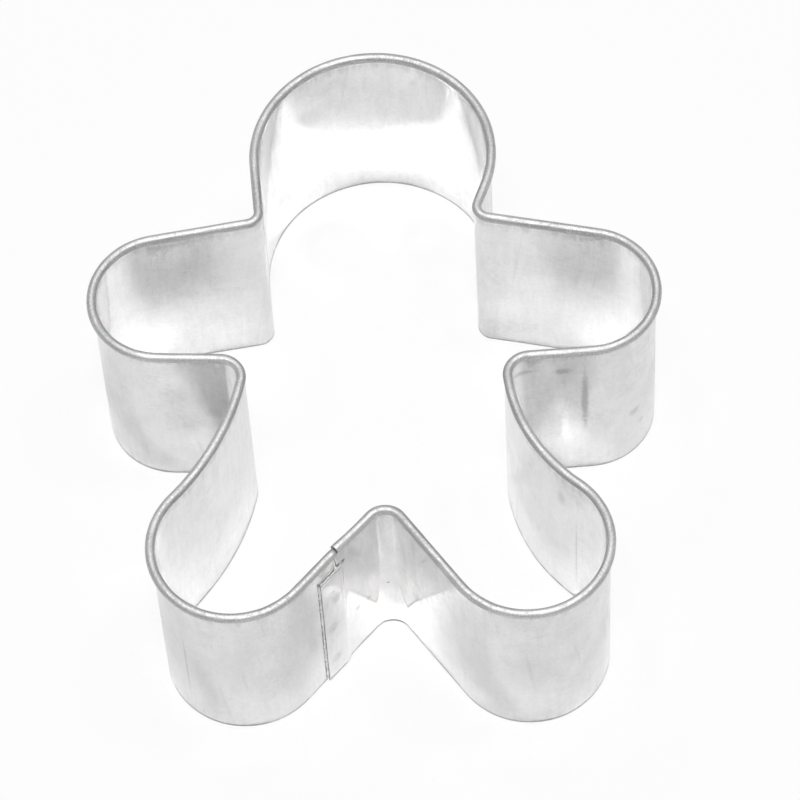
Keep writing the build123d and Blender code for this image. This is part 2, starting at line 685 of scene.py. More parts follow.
@dataclass
class TinplateBand:
    """The bent strip with its rolled rim, its lapped tab and the marks of its making.

    Args:
        outline: The figure's outline.
        section: The strip's section.
        butt_gap: Gap between the roll's two ends.
        lap_length: How far the tab laps over the strip's other end.
        lap_clearance: Gap between the tab and the wall behind it.
        joggle_radius: Radius of the joggle's two bends.
        joggle_columns: Columns of faces along the joggle.
        tab_step: Largest distance between two columns of the tab.
        tab_press: How far the tab's top edge is pressed towards the wall behind it.
        press_starts_below_top: How far below that edge the pressing starts.
        press_rise: The height over which it grows.
        wave_depth: Depth of the slow waves that bending by hand leaves.
        wave_length: Their length along the strip.
        wave_upright: Their height against their length.
        wave_seed: The place in the noise that draws them.
        ripple_depth: Depth of the finer ripples.
        ripple_length: Their length along the strip.
        ripple_upright: Their height against their length.
        ripple_seed: The place in the noise that draws them.
        stiff_from: The height at which the roll starts to stiffen the wall.
        stiff_rise: The height over which the waves die out above it.
        steady_length: The run over which they grow from the seam.
        roll_ripple_depth: Depth of the marks that the rolling tool leaves on the roll.
        roll_ripple_length: Their length along the strip.
        roll_ripple_pitch: How many there are for each millimetre round the roll.
        roll_ripple_seed: The place in the noise that draws them.
        rim_drift: How far the rim's start is sprung inward.
        rim_drift_length: The run over which that dies out.
        rim_drift_full_below: How far below the rim it has grown full.
        burr_reach: How far the burr stands out past the cut.
        burr_width: Its width on the cut.
        burr_root: How far back in the sheet it starts.
        burr_lean: How far its tip leans inward.
        burr_step: Largest distance between two of its rings.
        burr_end_gap: How far it stays from the cut's two corners.
        burr_mean_share: Its mean reach, as a share of the whole.
        burr_rag_share: How far its reach strays from the mean, as a share of the whole.
        burr_least_share: Its least reach, as a share of the whole.
        burr_pitch: How many teeth it has for each millimetre.
        burr_seeds: The place in the noise that draws them.
        dents: The dents in the wall.
        roll_dents: The dents in the roll.
    """

    outline: Outline = field(default_factory=Outline)
    section: SheetSection = field(default_factory=SheetSection)
    butt_gap: float = 0.3
    lap_length: float = 2.6
    lap_clearance: float = 0.05
    joggle_radius: float = 1.5
    joggle_columns: int = 12
    tab_step: float = 0.2
    tab_press: float = 0.045
    press_starts_below_top: float = 1.6
    press_rise: float = 1.4
    wave_depth: float = 0.05
    wave_length: float = 9.0
    wave_upright: float = 2.2
    wave_seed: float = 3.7
    ripple_depth: float = 0.012
    ripple_length: float = 3.2
    ripple_upright: float = 3.0
    ripple_seed: float = 9.1
    stiff_from: float = 17.0
    stiff_rise: float = 6.5
    steady_length: float = 6.0
    roll_ripple_depth: float = 0.012
    roll_ripple_length: float = 1.1
    roll_ripple_pitch: float = 1.3
    roll_ripple_seed: float = 5.3
    rim_drift: float = 0.22
    rim_drift_length: float = 4.5
    rim_drift_full_below: float = 1.0
    burr_reach: float = 0.22
    burr_width: float = 0.12
    burr_root: float = 0.06
    burr_lean: float = 0.02
    burr_step: float = 0.22
    burr_end_gap: float = 0.2
    burr_mean_share: float = 0.75
    burr_rag_share: float = 0.9
    burr_least_share: float = 0.15
    burr_pitch: float = 2.1
    burr_seeds: tuple[float, float] = (0.3, 7.7)
    dents: tuple[Dent, ...] = ()
    roll_dents: tuple[Dent, ...] = ()

    @cached_property
    def strip_length(self) -> float:
        """Length of the outline from seam to seam."""
        return self.outline.stations(0.0, 0.0)[-1].run

    @property
    def lap_step(self) -> float:
        """How far the tab is stepped outward."""
        return self.section.thickness + self.lap_clearance

    @property
    def tab_end(self) -> float:
        """The run at which the tab is cut off, past the roll's start."""
        return -self.butt_gap - self.lap_length

    @property
    def joggle_length(self) -> float:
        """The run over which the tab is stepped out."""
        return math.sqrt(4.0 * self.joggle_radius * self.lap_step - self.lap_step**2)

    def flank(self, run: float) -> Station:
        """A station on the straight flank by the seam."""
        start, along = self.outline.seam()
        return Station(run, self.outline.centred(start + along * run), -left_of(along))

    def joggle_sag(self, run: float) -> float:
        """How far one of the joggle's two bends has left its tangent after a run."""
        return self.joggle_radius - math.sqrt(self.joggle_radius**2 - run**2)

    def step_out(self, run: float) -> float:
        """Offset of the lower wall near the seam.

        Args:
            run: Distance past the roll's start.

        Returns:
            The offset outward: one lap on the tab, and none past the joggle.
        """
        if run <= 0.0:
            return self.lap_step
        if run >= self.joggle_length:
            return 0.0
        if run <= self.joggle_length / 2.0:
            return self.lap_step - self.joggle_sag(run)
        return self.joggle_sag(self.joggle_length - run)

    def relief(self, run: float, up: float) -> float:
        """The wall's departure from a true face, as hand bending leaves it.

        Args:
            run: Distance along the strip.
            up: Height on the wall.

        Returns:
            The offset outward, which fades out towards the stiff roll and towards the seam.
        """
        free = 1.0 - smooth_share((up - self.stiff_from) / self.stiff_rise)
        free *= smooth_share(min(run, self.strip_length - run) / self.steady_length)
        wave_up = up / (self.wave_upright * self.wave_length)
        wave = noise.noise(Vector((run / self.wave_length, wave_up, self.wave_seed)))
        ripple_up = up / (self.ripple_upright * self.ripple_length)
        ripple = noise.noise(Vector((run / self.ripple_length, ripple_up, self.ripple_seed)))
        marks = sum(dent.offset(run, up) for dent in self.dents)
        return free * (self.wave_depth * wave + self.ripple_depth * ripple) + marks

    def roll_relief(self, run: float, travel: float) -> float:
        """How far the roll swells or sinks, from the rolling tool and from knocks.

        Args:
            run: Distance along the strip.
            travel: Distance along the sheet from the cutting edge.

        Returns:
            The offset away from the roll's hollow.
        """
        round_roll = travel * self.roll_ripple_pitch
        place = Vector((run / self.roll_ripple_length, round_roll, self.roll_ripple_seed))
        knocks = sum(dent.offset(run, travel) for dent in self.roll_dents)
        return self.roll_ripple_depth * noise.noise(place) + knocks

    def pressed(self, up: float, offset: float) -> float:
        """How far the tab's top edge is pressed against the wall behind it.

        Args:
            up: Height on the tab.
            offset: How far the tab is stepped out there.

        Returns:
            The offset inward.
        """
        over_start = up - self.section.tab_height + self.press_starts_below_top
        stepped = min(1.0, offset / self.lap_step)
        return self.tab_press * smooth_share(over_start / self.press_rise) * stepped

    def rim_shift(self, run: float, up: float) -> float:
        """How far the rim's open start is sprung inward.

        Args:
            run: Distance past the roll's start.
            up: Height on the strip.

        Returns:
            The offset inward, none from the tab's height down.
        """
        if not 0.0 <= run < self.rim_drift_length:
            return 0.0
        rise = self.section.tab_below_rim - self.rim_drift_full_below
        raised = smooth_share((up - self.section.tab_height) / rise)
        return self.rim_drift * (1.0 - run / self.rim_drift_length) ** 2 * raised

    def build(self) -> bpy.types.Object:
        """Makes the strip as one closed mesh.

        Returns:
            The band, in metres in the CAD's frame.
        """
        sheet = BandMesh(self)
        split, last, worn = sheet.split, sheet.last, self.section.edge_round
        tab_count = math.ceil((self.butt_gap + self.lap_length) / self.tab_step)
        tab_runs = [self.tab_end + worn]
        tab_runs += [self.tab_end * (1.0 - index / tab_count) for index in range(1, tab_count)]
        joggle_runs = [
            self.joggle_length * index / self.joggle_columns
            for index in range(self.joggle_columns + 1)
        ]
        places = self.outline.stations(self.joggle_length, self.butt_gap + worn)
        merged = [sheet.ring(place, 0, last) for place in places]
        end = places[-1]
        beyond = Station(end.run + worn, end.point + left_of(end.outward) * worn, end.outward)
        merged.append(sheet.ring(beyond, 0, last, inset=worn))
        lower = [sheet.ring(self.flank(self.tab_end), 0, split, self.step_out(self.tab_end), worn)]
        lower += [
            sheet.ring(self.flank(run), 0, split, self.step_out(run))
            for run in tab_runs + joggle_runs[:-1]
        ]
        lower.append(merged[0][: split + 1])
        upper = [sheet.ring(self.flank(0.0), split, last, inset=worn)]
        upper += [sheet.ring(self.flank(run), split, last) for run in [worn] + joggle_runs[1:-1]]
        upper.append(merged[0][split:])
        sheet.stretch(merged, 0, Face.SHEARED)
        sheet.stretch(lower, 0, Face.BURR)
        sheet.stretch(upper, split, Face.SHEARED)
        sheet.cap(lower[0], True)
        sheet.cap(upper[0], True)
        sheet.cap(merged[-1], False)
        self.add_burr(sheet)
        return sheet.piece("tinplate_band")

    def add_burr(self, sheet: SheetMesh) -> None:
        """Raises the ragged burr that shearing leaves down the inner corner of the tab's cut end.

        Args:
            sheet: The band's mesh.
        """
        here = self.flank(self.tab_end)
        along = left_of(here.outward)
        inner = self.step_out(self.tab_end) - self.section.half
        height = self.section.tab_height - 2.0 * self.burr_end_gap
        count = math.ceil(height / self.burr_step)
        rings = []
        for index in range(count + 1):
            up = self.burr_end_gap + height * index / count
            place = Vector((up * self.burr_pitch, *self.burr_seeds))
            rag = self.burr_rag_share * noise.noise(place)
            reach = self.burr_reach * max(self.burr_least_share, self.burr_mean_share + rag)
            lift = self.relief(self.tab_end, up)
            edge = (
                (-self.burr_root, 0.0), (reach, -self.burr_lean), (-self.burr_root, self.burr_width)
            )
            rings.append([
                sheet.corner(
                    here.point - along * back + here.outward * (inner + lift + out),
                    up, self.tab_end + out, up,
                )
                for back, out in edge
            ])
        for before, after in zip(rings, rings[1:]):
            for corner in range(3):
                beside = (corner + 1) % 3
                around = [before[corner], before[beside], after[beside], after[corner]]
                sheet.face(around, Face.BURR, False)
        for ring in (rings[0], rings[-1]):
            sheet.face(ring, Face.BURR, False)

    def dress(self, piece: bpy.types.Object, finishes: dict[Face, bpy.types.Material]) -> None:
        """Args:
            piece: The band.
            finishes: A material for each kind of face.
        """
        for kind in Face:
            piece.data.materials.append(finishes[kind])
        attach(piece, "root")
        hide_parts("tinplate_band")


@dataclass
class SpotWeld:
    """One weld through the lap, with the dish and the lip that each electrode leaves.

    Args:
        node: Name of its CAD node.
        up: Its height.
        band: The band that it holds together.
        radius: Its radius.
        dish_depth: Depth of the electrode's dish.
        dish_reach_share: Reach of the dish, as a share of the radius.
        lip: Height of the lip round the dish.
        lip_share: Where the lip is highest, as a share of the radius.
        lip_width_share: Width of the lip, as a share of the radius.
        rough: Height of the face's roughness, and how far it stands out to clear the sheet.
        rough_pitch: Waves of the roughness for each radius.
        rim_sink: How far the rim is sunk under the sheet.
        rim_share: Where the rim starts to sink, as a share of the radius.
        rings: Rings of faces on each side.
        spokes: Faces in each ring.
        heat_reach: Reach of the mark that the heat leaves on the sheet.
        heat_share: How strong that mark is.
        heat_grey: Its grey.
    """

    node: str
    up: float
    band: TinplateBand
    radius: float = 0.75
    dish_depth: float = 0.02
    dish_reach_share: float = 1.35
    lip: float = 0.006
    lip_share: float = 0.78
    lip_width_share: float = 0.16
    rough: float = 0.004
    rough_pitch: float = 3.0
    rim_sink: float = 0.03
    rim_share: float = 0.88
    rings: int = 7
    spokes: int = 40
    heat_reach: float = 1.3
    heat_share: float = 0.3
    heat_grey: float = 0.5

    @property
    def run(self) -> float:
        """Its place along the strip, past the roll's start."""
        return -self.band.butt_gap - self.band.lap_length / 2.0

    @property
    def heat_mark(self) -> StainOrLightSpot:
        """The dull mark that the weld's heat leaves on the sheet."""
        return StainOrLightSpot(self.run, self.up, self.heat_reach, self.heat_share, self.heat_grey)

    def dents(self) -> tuple[Dent, Dent]:
        """The shallow dents round the weld, in the tab and in the strip's other end.

        Returns:
            The tab's dent and the other end's.
        """
        wide = self.dish_reach_share * self.radius
        return (
            Dent(self.run, self.up, wide, wide, -self.dish_depth),
            Dent(self.band.strip_length + self.run, self.up, wide, wide, self.dish_depth),
        )

    def face_height(self, share: float, angle: float) -> float:
        """Height of the weld's face above the sheet round it.

        Args:
            share: Distance from the weld's centre, as a share of its radius.
            angle: Direction from its centre.

        Returns:
            The height: a rough dish with a slight lip, sunk under the sheet at its rim.
        """
        across = self.rough_pitch * share
        spot = Vector((across * math.cos(angle), across * math.sin(angle), self.up))
        rough = self.rough * noise.noise(spot)
        lip = self.lip * math.exp(-(((share - self.lip_share) / self.lip_width_share) ** 2))
        rim = -self.rim_sink * smooth_share((share - self.rim_share) / (1.0 - self.rim_share))
        dish = self.dish_depth * math.exp(-DENT_FALL * (share / self.dish_reach_share) ** 2)
        return lip + rim + rough + self.rough - dish

    def corner(
        self, sheet: SheetMesh, share: float, angle: float, way: float
    ) -> bmesh.types.BMVert:
        """Adds a corner on one of the weld's two faces.

        Args:
            sheet: The weld's mesh.
            share: Distance from the weld's centre, as a share of its radius.
            angle: Direction from its centre.
            way: Which face it is on: 1 for the tab's, -1 for the other.

        Returns:
            The corner.
        """
        here, half = self.band.flank(self.run), self.band.section.half
        lift = self.band.relief(self.run, self.up) + self.dish_depth
        base = self.band.lap_step + half + lift if way > 0.0 else -half
        aside = self.radius * share * math.cos(angle)
        rise = self.radius * share * math.sin(angle)
        out = base + way * self.face_height(share, angle)
        plan = here.point + left_of(here.outward) * aside + here.outward * out
        return sheet.corner(plan, self.up + rise, self.run + aside, self.up + rise)

    def build(self) -> bpy.types.Object:
        """Makes the weld as one closed mesh.

        Returns:
            The weld, in metres in the CAD's frame.
        """
        sheet = SheetMesh()
        angles = [2.0 * math.pi * spoke / self.spokes for spoke in range(self.spokes)]
        besides = [(spoke, (spoke + 1) % self.spokes) for spoke in range(self.spokes)]
        shells = []
        for way in (1.0, -1.0):
            centre = self.corner(sheet, 0.0, 0.0, way)
            circles = [
                [self.corner(sheet, step / self.rings, angle, way) for angle in angles]
                for step in range(1, self.rings + 1)
            ]
            for spoke, beside in besides:
                sheet.face([centre, circles[0][spoke], circles[0][beside]], Face.WALL)
                for inner, outer in zip(circles, circles[1:]):
                    around = [inner[spoke], outer[spoke], outer[beside], inner[beside]]
                    sheet.face(around, Face.WALL)
            shells.append(circles[-1])
        tab_side, far_side = shells
        for spoke, beside in besides:
            around = [tab_side[spoke], far_side[spoke], far_side[beside], tab_side[beside]]
            sheet.face(around, Face.WALL)
        return sheet.piece(self.node)

    def dress(self, piece: bpy.types.Object, finish: bpy.types.Material) -> None:
        """Args:
            piece: The weld.
            finish: Its material.
        """
        piece.data.materials.append(finish)
        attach(piece, "root")
        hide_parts(self.node)


@dataclass
class Wiring:
    """Places nodes in one tree and joins them."""

    tree: bpy.types.NodeTree

    def feed(self, node: bpy.types.Node, feeds: Feeds) -> None:
        """Feeds the inputs of a node.

        Args:
            node: The node.
            feeds: A socket to join or a plain value to set, for each input.
        """
        for key, value in feeds.items():
            if isinstance(value, Socket):
                self.tree.links.new(value, node.inputs[key])
            else:
                node.inputs[key].default_value = value

    def place(self, kind: str, feeds: Feeds | None = None, **settings: object) -> bpy.types.Node:
        """Places one node.

        Args:
            kind: The node's type.
            feeds: A socket or a plain value for each input.
            settings: Properties of the node.

        Returns:
            The node.
        """
        node = self.tree.nodes.new(kind)
        for name, value in settings.items():
            setattr(node, name, value)
        self.feed(node, feeds or {})
        return node

    def maths(self, operation: str, *values: Socket | float) -> Socket:
        """One step of arithmetic."""
        return self.place("ShaderNodeMath", dict(enumerate(values)), operation=operation).outputs[0]

    def plus(self, first: Socket, second: Socket | float) -> Socket:
        """The sum of two values."""
        return self.maths("ADD", first, second)

    def minus(self, first: Socket | float, second: Socket | float) -> Socket:
        """What is left of one value when another is taken away."""
        return self.maths("SUBTRACT", first, second)

    def times(self, first: Socket, second: Socket | float) -> Socket:
        """The product of two values."""
        return self.maths("MULTIPLY", first, second)

    def fading(self, away: Socket, reach: Socket) -> Socket:
        """A share that falls from one to none over a reach."""
        return self.minus(1.0, self.maths("MINIMUM", self.maths("DIVIDE", away, reach), 1.0))

    def vector(self, operation: str, *values: Socket | Triple) -> Socket:
        """One step of arithmetic on places, which gives a place."""
        feeds = dict(enumerate(values))
        return self.place("ShaderNodeVectorMath", feeds, operation=operation).outputs[0]

    def between(
        self, value: Socket, low: float, high: float, to_low: float = 0.0, to_high: float = 1.0
    ) -> Socket:
        """A value eased from one range into another.

        Args:
            value: The value.
            low: Where the range starts.
            high: Where it ends.
            to_low: What the start becomes.
            to_high: What the end becomes.

        Returns:
            The eased value.
        """
        feeds = {
            "Value": value, "From Min": low, "From Max": high, "To Min": to_low, "To Max": to_high,
        }
        eased = self.place("ShaderNodeMapRange", feeds, interpolation_type="SMOOTHSTEP")
        return eased.outputs["Result"]

    def tint(self, share: Socket, plain: Triple | Socket, overlaid: Triple) -> Socket:
        """A colour that goes towards another with a share.

        Args:
            share: How far it goes.
            plain: The colour at no share.
            overlaid: The colour at a full share.

        Returns:
            The colour.
        """
        first = plain if isinstance(plain, Socket) else (*plain, 1.0)
        feeds = {0: share, 6: first, 7: (*overlaid, 1.0)}
        return self.place("ShaderNodeMix", feeds, data_type="RGBA").outputs[2]


@dataclass(frozen=True)
class Grain:
    """A noise on the strip, and the part of its range that shows.

    Args:
        pitch: Waves for each millimetre, along, up and through the sheet.
        detail: How many finer layers it has.
        low: The noise that shows as none.
        high: The noise that shows in full.
        turn: How far it is turned on the sheet, in radians.
        warp: How much it wanders.
        roughness: How strong each finer layer is against the one before.
    """

    pitch: Triple
    detail: float
    low: float = 0.0
    high: float = 1.0
    turn: float = 0.0
    warp: float = 0.0
    roughness: float = 0.6

    def noise(self, wiring: Wiring, place: Socket) -> Socket:
        """Places the plain noise.

        Args:
            wiring: Wiring of the material or group that it is for.
            place: The place on the surface, in millimetres.

        Returns:
            The noise, about 0.5 on average.
        """
        turning = {"Vector": place, "Rotation": (0.0, 0.0, self.turn)}
        turned = wiring.place("ShaderNodeMapping", turning, vector_type="TEXTURE").outputs[0]
        feeds = {
            "Vector": wiring.vector("MULTIPLY", turned, self.pitch), "Scale": 1.0,
            "Detail": self.detail, "Roughness": self.roughness, "Distortion": self.warp,
        }
        return wiring.place("ShaderNodeTexNoise", feeds).outputs[0]

    def eased(self, wiring: Wiring, value: Socket) -> Socket:
        """The noise's value eased from none to full over the range that shows."""
        return wiring.between(value, self.low, self.high)

    def shown(self, wiring: Wiring, place: Socket) -> Socket:
        """The noise as it shows at a place."""
        return self.eased(wiring, self.noise(wiring, place))


@dataclass(frozen=True)
class SurfaceEffect(ABC):
    """One kind of mark on the metal, kept as a node group.

    Args:
        name: Name of the group.
        dials: Its inputs besides the place on the strip, with their usual values.
        results: Its outputs.
    """

    name: str
    dials: tuple[tuple[str, float], ...]
    results: tuple[str, ...]

    @abstractmethod
    def draw(self, wiring: Wiring, dials: Sockets) -> Sockets:
        """Makes the outputs from the inputs.

        Args:
            wiring: The group's wiring.
            dials: The group's inputs by name.

        Returns:
            The outputs by name.
        """

    def group(self) -> bpy.types.NodeTree:
        """Builds the group at its first use, and gives the same one afterwards.

        Returns:
            The group.
        """
        made = bpy.data.node_groups.get(self.name)
        if made is not None:
            return made
        tree = bpy.data.node_groups.new(self.name, "ShaderNodeTree")
        tree.interface.new_socket(name="Strip", in_out="INPUT", socket_type="NodeSocketVector")
        for dial, value in self.dials:
            socket = tree.interface.new_socket(
                name=dial, in_out="INPUT", socket_type="NodeSocketFloat"
            )
            socket.default_value = value
        for result in self.results:
            tree.interface.new_socket(name=result, in_out="OUTPUT", socket_type="NodeSocketFloat")
        wiring = Wiring(tree)
        inputs = wiring.place("NodeGroupInput")
        drawn = self.draw(wiring, {socket.name: socket for socket in inputs.outputs if socket.name})
        wiring.place("NodeGroupOutput", {result: drawn[result] for result in self.results})
        return tree

    def on(self, wiring: Wiring, place: Socket, **values: float | Socket) -> Sockets:
        """Places the effect in a material.

        Args:
            wiring: The material's wiring.
            place: The place on the surface, in millimetres.
            values: Values or sockets for its dials, with small letters for their names.

        Returns:
            The effect's outputs by name.
        """
        node = wiring.place("ShaderNodeGroup", node_tree=self.group(), label=self.name)
        given = {dial: values[dial.lower()] for dial, _ in self.dials if dial.lower() in values}
        wiring.feed(node, {"Strip": place, **given})
        return {socket.name: socket for socket in node.outputs}


@dataclass(frozen=True)
class RolledGrain(SurfaceEffect):
    """Fine lines along the strip, left by the rolling mill."""

    name: str = "rolled_grain"
    dials: tuple[tuple[str, float], ...] = (("Depth", 1.0),)
    results: tuple[str, ...] = ("Shade", "Height")
    fine: Grain = Grain((0.45, 13.0, 3.0), 5.0)
    broad: Grain = Grain((0.05, 1.7, 1.0), 2.0)
    fine_share: float = 0.65
    broad_share: float = 0.35

    def draw(self, wiring: Wiring, dials: Sockets) -> Sockets:
        """Makes the lines.

        Args:
            wiring: The group's wiring.
            dials: The group's inputs by name.

        Returns:
            Their shade, about 0.5 on average, and their height.
        """
        fine = wiring.times(self.fine.noise(wiring, dials["Strip"]), self.fine_share)
        broad = wiring.times(self.broad.noise(wiring, dials["Strip"]), self.broad_share)
        blended = wiring.plus(fine, broad)
        lined = wiring.times(wiring.minus(blended, NOISE_MEAN), dials["Depth"])
        return {"Shade": wiring.plus(lined, NOISE_MEAN), "Height": blended}


@dataclass(frozen=True)
class TinMottle(SurfaceEffect):
    """The cloudy crystals of the tin, in spots, clouds and upright veins."""

    name: str = "tin_mottle"
    dials: tuple[tuple[str, float], ...] = (("Spots", 0.4), ("Clouds", 0.35), ("Veins", 0.25))
    results: tuple[str, ...] = ("Shade",)
    spots: Grain = Grain((2.3, 2.0, 2.0), 6.0, 0.32, 0.68, warp=0.4)
    clouds: Grain = Grain((0.5, 0.34, 0.4), 4.0, 0.34, 0.66)
    veins: Grain = Grain((1.5, 0.16, 0.5), 4.0, 0.36, 0.64)

    def draw(self, wiring: Wiring, dials: Sockets) -> Sockets:
        """Adds up the three kinds of crystal.

        Args:
            wiring: The group's wiring.
            dials: The group's inputs by name.

        Returns:
            How dull the metal is.
        """
        spots = wiring.times(self.spots.shown(wiring, dials["Strip"]), dials["Spots"])
        clouds = wiring.times(self.clouds.shown(wiring, dials["Strip"]), dials["Clouds"])
        veins = wiring.times(self.veins.shown(wiring, dials["Strip"]), dials["Veins"])
        return {"Shade": wiring.plus(wiring.plus(spots, clouds), veins)}


@dataclass(frozen=True)
class HandlingSmudges(SurfaceEffect):
    """Greasy patches from hands and wiping, broken up by fine specks."""

    name: str = "handling_smudges"
    dials: tuple[tuple[str, float], ...] = ()
    results: tuple[str, ...] = ("Mask",)
    patches: Grain = Grain((0.17, 0.13, 0.2), 3.0, 0.5, 0.66, warp=1.1)
    specks: Grain = Grain((1.5, 1.2, 1.0), 5.0, 0.3, 0.72)
    wiped: Grain = Grain((0.9, 0.07, 0.3), 3.0, 0.56, 0.74, turn=0.12)

    def draw(self, wiring: Wiring, dials: Sockets) -> Sockets:
        """Makes the smudges.

        Args:
            wiring: The group's wiring.
            dials: The group's inputs by name.

        Returns:
            Their mask.
        """
        patches = self.patches.shown(wiring, dials["Strip"])
        broken = wiring.times(patches, self.specks.shown(wiring, dials["Strip"]))
        return {"Mask": wiring.maths("MAXIMUM", broken, self.wiped.shown(wiring, dials["Strip"]))}


@dataclass(frozen=True)
class HairScratches(SurfaceEffect):
    """Thin scratches that cross at a few slants, each fading in and out."""

    name: str = "hair_scratches"
    dials: tuple[tuple[str, float], ...] = (("Width", 0.012),)
    results: tuple[str, ...] = ("Mask",)
    lines: tuple[Grain, ...] = (
        Grain((0.08, 1.5, 0.5), 1.0, turn=0.16),
        Grain((0.08, 1.9, 0.5), 1.0, turn=-0.55),
        Grain((0.08, 2.3, 0.5), 1.0, turn=1.42),
    )
    lasting: Grain = Grain((0.4, 0.3, 0.2), 2.0, 0.52, 0.62)
    lasting_turn: float = 2.0

    def draw(self, wiring: Wiring, dials: Sockets) -> Sockets:
        """Makes the scratches, which run where each noise crosses its mean.

        Args:
            wiring: The group's wiring.
            dials: The group's inputs by name.

        Returns:
            Their mask.
        """
        scratches = []
        for line in self.lines:
            crossing = wiring.minus(line.noise(wiring, dials["Strip"]), NOISE_MEAN)
            thin = wiring.fading(wiring.maths("ABSOLUTE", crossing), dials["Width"])
            lasting = replace(self.lasting, turn=self.lasting_turn * line.turn)
            scratches.append(wiring.times(thin, lasting.shown(wiring, dials["Strip"])))
        mask = scratches[0]
        for scratch in scratches[1:]:
            mask = wiring.maths("MAXIMUM", mask, scratch)
        return {"Mask": mask}


@dataclass(frozen=True)
class RaggedRim(SurfaceEffect):
    """How far the rims of the dull marks and the painted spots of shade and highlight wander, in
    shares of their reach.
    """

    name: str = "ragged_rim"
    dials: tuple[tuple[str, float], ...] = ()
    results: tuple[str, ...] = ("Wander",)
    ragged: Grain = Grain((2.6, 2.2, 2.0), 4.0)
    wander: float = 1.3

    def draw(self, wiring: Wiring, dials: Sockets) -> Sockets:
        """The wander, none on average."""
        ragged = wiring.minus(self.ragged.noise(wiring, dials["Strip"]), NOISE_MEAN)
        return {"Wander": wiring.times(ragged, self.wander)}


@dataclass(frozen=True)
class SoftSpot(SurfaceEffect):
    """A ragged dull mark, or spot of painted shade or highlight, at one place on the strip, round
    or drawn out upright.
    """

    name: str = "soft_spot"
    dials: tuple[tuple[str, float], ...] = (
        ("Run", 0.0), ("Up", 10.0), ("Reach", 1.0), ("Tall", 1.0), ("Wander", 0.0),
    )
    results: tuple[str, ...] = ("Mask",)
    rim_share: float = 1.1
    full_share: float = 0.3

    def draw(self, wiring: Wiring, dials: Sockets) -> Sockets:
        """Makes the stain.

        Args:
            wiring: The group's wiring.
            dials: The group's inputs by name.

        Returns:
            Its mask, which eases from none at the rim to full near the middle.
        """
        middle = {"X": dials["Run"], "Y": dials["Up"]}
        centre = wiring.place("ShaderNodeCombineXYZ", middle).outputs[0]
        high = wiring.times(dials["Reach"], dials["Tall"])
        halves = {"X": dials["Reach"], "Y": high, "Z": 1.0}
        size = wiring.place("ShaderNodeCombineXYZ", halves).outputs[0]
        spread = wiring.vector("DIVIDE", wiring.vector("SUBTRACT", dials["Strip"], centre), size)
        length = wiring.place("ShaderNodeVectorMath", {0: spread}, operation="LENGTH")
        away = wiring.plus(length.outputs["Value"], dials["Wander"])
        return {"Mask": wiring.between(away, self.rim_share, self.full_share)}


@dataclass(frozen=True)
class EdgeLine(SurfaceEffect):
    """An uneven line that runs along the strip at one level; the wall uses it for a darker line
    along the cutting edge and for painted shade under the roll.
    """

    name: str = "edge_line"
    dials: tuple[tuple[str, float], ...] = (("Level", 0.0), ("Reach", 0.25))
    results: tuple[str, ...] = ("Mask",)
    uneven: Grain = Grain((1.3, 0.3, 0.3), 5.0, 0.3, 0.7)
    widest: float = 2.0
    least_reach: float = 0.05
    least_strength: float = 0.2

    def draw(self, wiring: Wiring, dials: Sockets) -> Sockets:
        """Makes the line.

        Args:
            wiring: The group's wiring.
            dials: The group's inputs by name.

        Returns:
            Its mask, widest and strongest where the noise is high.
        """
        up = wiring.place("ShaderNodeSeparateXYZ", {0: dials["Strip"]}).outputs["Y"]
        away = wiring.maths("ABSOLUTE", wiring.minus(up, dials["Level"]))
        uneven = self.uneven.shown(wiring, dials["Strip"])
        full_reach = wiring.times(dials["Reach"], self.widest)
        reach = wiring.times(wiring.plus(uneven, self.least_reach), full_reach)
        strength = wiring.plus(uneven, self.least_strength)
        return {"Mask": wiring.times(wiring.fading(away, reach), strength)}


@dataclass(frozen=True)
class BeadSpeckle(SurfaceEffect):
    """Pin-sized bright and dark specks where the sheet has crazed in rolling."""

    name: str = "bead_speckle"
    dials: tuple[tuple[str, float], ...] = ()
    results: tuple[str, ...] = ("Shade", "Lines", "Height", "Worn")
    specks: Grain = Grain((5.2, 4.0, 4.0), 4.0, 0.32, 0.68, warp=0.3)
    drawn: Grain = Grain((0.35, 5.0, 2.0), 4.0, 0.4, 0.62)
    worn: Grain = Grain((0.12, 0.3, 0.2), 3.0, 0.42, 0.62)
    drawn_height: float = 1.2

    def draw(self, wiring: Wiring, dials: Sockets) -> Sockets:
        """Makes the specks and the lines drawn along the bead.

        Args:
            wiring: The group's wiring.
            dials: The group's inputs by name.

        Returns:
            The specks' shade, the drawn lines, the height of both and the worn stretches.
        """
        specks = self.specks.noise(wiring, dials["Strip"])
        drawn = self.drawn.noise(wiring, dials["Strip"])
        return {
            "Shade": self.specks.eased(wiring, specks),
            "Lines": self.drawn.eased(wiring, drawn),
            "Height": wiring.plus(specks, wiring.times(drawn, self.drawn_height)),
            "Worn": self.worn.shown(wiring, dials["Strip"]),
        }


@dataclass(frozen=True)
class MetalSurface:
    """What changes over a metal face.

    Args:
        colour: Its colour.
        roughness: Its roughness.
        height: Its relief, in shares of the finish's depth.
    """

    colour: Socket
    roughness: Socket
    height: Socket


